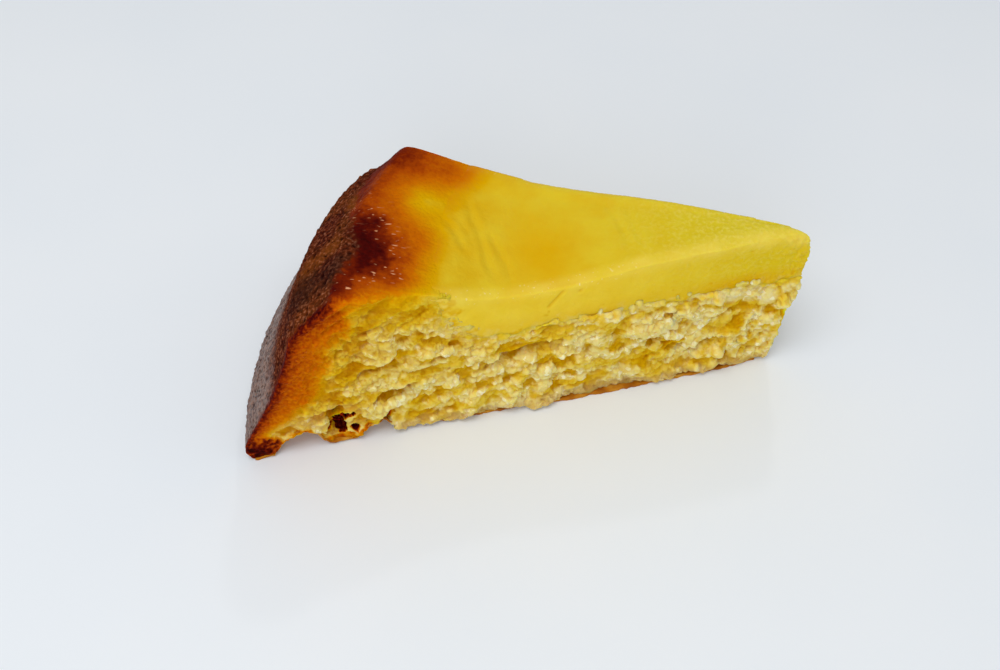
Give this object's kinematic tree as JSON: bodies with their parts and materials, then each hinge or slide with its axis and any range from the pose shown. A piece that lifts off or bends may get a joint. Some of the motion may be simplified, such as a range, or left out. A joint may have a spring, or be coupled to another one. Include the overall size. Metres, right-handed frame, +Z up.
{
  "type": "cheesecake slice",
  "caption": "Wedge-shaped slice of baked cheesecake: smooth set custard over coarse curd crumb, with a browned, raised rim, lying on its flat underside.",
  "frame": {"origin": "middle of the slice's box, on the floor it lies on", "axes": "+X from the baked rim towards the point of the slice, +Y from the rougher cut face to the other cut face, +Z up"},
  "size_m": [0.1262, 0.0644, 0.0469],
  "materials": {
    "custard": "moist satin, set custard",
    "crumb": "coarse moist curd crumb, browned at the rim"
  },
  "bodies": {
    "root": {"custard": "custard", "crumb": "crumb"}
  },
  "joints": []
}
